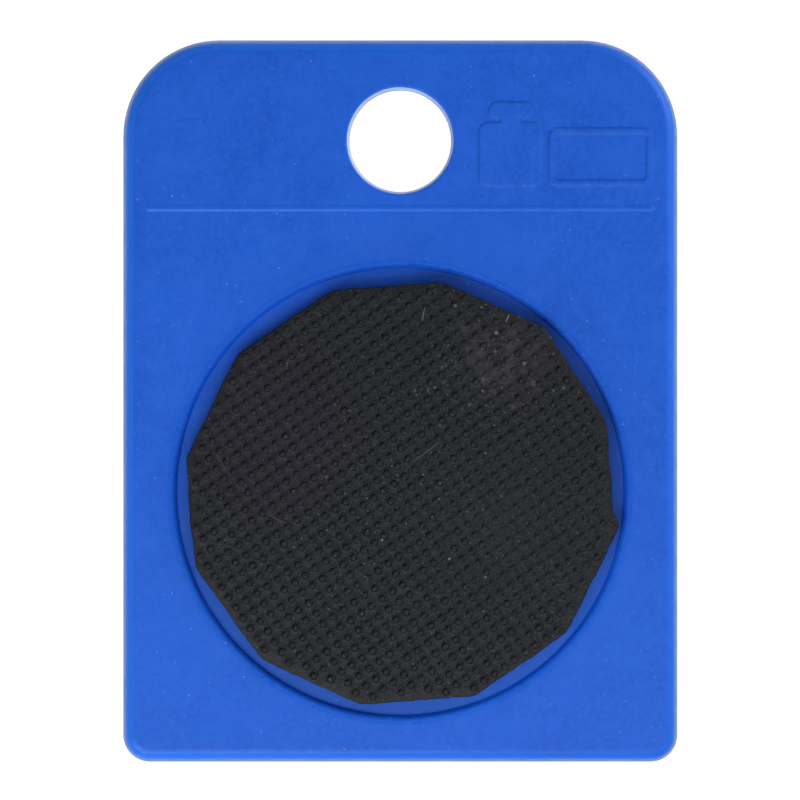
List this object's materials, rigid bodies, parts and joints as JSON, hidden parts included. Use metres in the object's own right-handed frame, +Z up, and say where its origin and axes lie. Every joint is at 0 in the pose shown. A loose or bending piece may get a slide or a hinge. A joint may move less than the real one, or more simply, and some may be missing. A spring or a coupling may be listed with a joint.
{
  "type": "furniture moving roller",
  "caption": "Flat plastic roller for moving furniture: square box on small staggered wheels, lifting tab with a hanging hole, round recess with a dotted rubber grip pad.",
  "frame": {"origin": "on the floor below the middle of the deck", "axes": "+Y along the deck to the tab end, +Z up, wheels turn about X"},
  "size_m": [0.0768, 0.1, 0.025],
  "materials": {
    "deck_plastic": "satin moulded blue plastic",
    "pad_rubber": "matt black rubber with raised dots",
    "adhesive_film": "milky film",
    "pin_steel": "bright drawn steel",
    "wheel_nylon": "natural nylon"
  },
  "bodies": {
    "base": {"deck": "deck_plastic", "grip_pad": "pad_rubber", "pad_adhesive": "adhesive_film", "axle_row1_left": "pin_steel", "axle_row1_centre": "pin_steel", "axle_row1_right": "pin_steel", "axle_row2_left": "pin_steel", "axle_row2_right": "pin_steel", "axle_row3_left": "pin_steel", "axle_row3_centre": "pin_steel", "axle_row3_right": "pin_steel", "axle_row4_left": "pin_steel", "axle_row4_right": "pin_steel"},
    "wheel_row1_left": {"wheel_row1_left": "wheel_nylon"},
    "wheel_row1_centre": {"wheel_row1_centre": "wheel_nylon"},
    "wheel_row1_right": {"wheel_row1_right": "wheel_nylon"},
    "wheel_row2_left": {"wheel_row2_left": "wheel_nylon"},
    "wheel_row2_right": {"wheel_row2_right": "wheel_nylon"},
    "wheel_row3_left": {"wheel_row3_left": "wheel_nylon"},
    "wheel_row3_centre": {"wheel_row3_centre": "wheel_nylon"},
    "wheel_row3_right": {"wheel_row3_right": "wheel_nylon"},
    "wheel_row4_left": {"wheel_row4_left": "wheel_nylon"},
    "wheel_row4_right": {"wheel_row4_right": "wheel_nylon"}
  },
  "joints": [
    {"name": "spin_row1_left", "type": "hinge", "parent": "base", "child": "wheel_row1_left", "pos_m": [-0.0244, -0.0369, 0.0095], "axis": [1, 0, 0], "continuous": true},
    {"name": "spin_row1_centre", "type": "hinge", "parent": "base", "child": "wheel_row1_centre", "pos_m": [0, -0.0369, 0.0095], "axis": [1, 0, 0], "continuous": true},
    {"name": "spin_row1_right", "type": "hinge", "parent": "base", "child": "wheel_row1_right", "pos_m": [0.0244, -0.0369, 0.0095], "axis": [1, 0, 0], "continuous": true},
    {"name": "spin_row2_left", "type": "hinge", "parent": "base", "child": "wheel_row2_left", "pos_m": [-0.0122, -0.01997, 0.0095], "axis": [1, 0, 0], "continuous": true},
    {"name": "spin_row2_right", "type": "hinge", "parent": "base", "child": "wheel_row2_right", "pos_m": [0.0122, -0.01997, 0.0095], "axis": [1, 0, 0], "continuous": true},
    {"name": "spin_row3_left", "type": "hinge", "parent": "base", "child": "wheel_row3_left", "pos_m": [-0.0244, -0.00303, 0.0095], "axis": [1, 0, 0], "continuous": true},
    {"name": "spin_row3_centre", "type": "hinge", "parent": "base", "child": "wheel_row3_centre", "pos_m": [0, -0.00303, 0.0095], "axis": [1, 0, 0], "continuous": true},
    {"name": "spin_row3_right", "type": "hinge", "parent": "base", "child": "wheel_row3_right", "pos_m": [0.0244, -0.00303, 0.0095], "axis": [1, 0, 0], "continuous": true},
    {"name": "spin_row4_left", "type": "hinge", "parent": "base", "child": "wheel_row4_left", "pos_m": [-0.0122, 0.0139, 0.0095], "axis": [1, 0, 0], "continuous": true},
    {"name": "spin_row4_right", "type": "hinge", "parent": "base", "child": "wheel_row4_right", "pos_m": [0.0122, 0.0139, 0.0095], "axis": [1, 0, 0], "continuous": true}
  ]
}
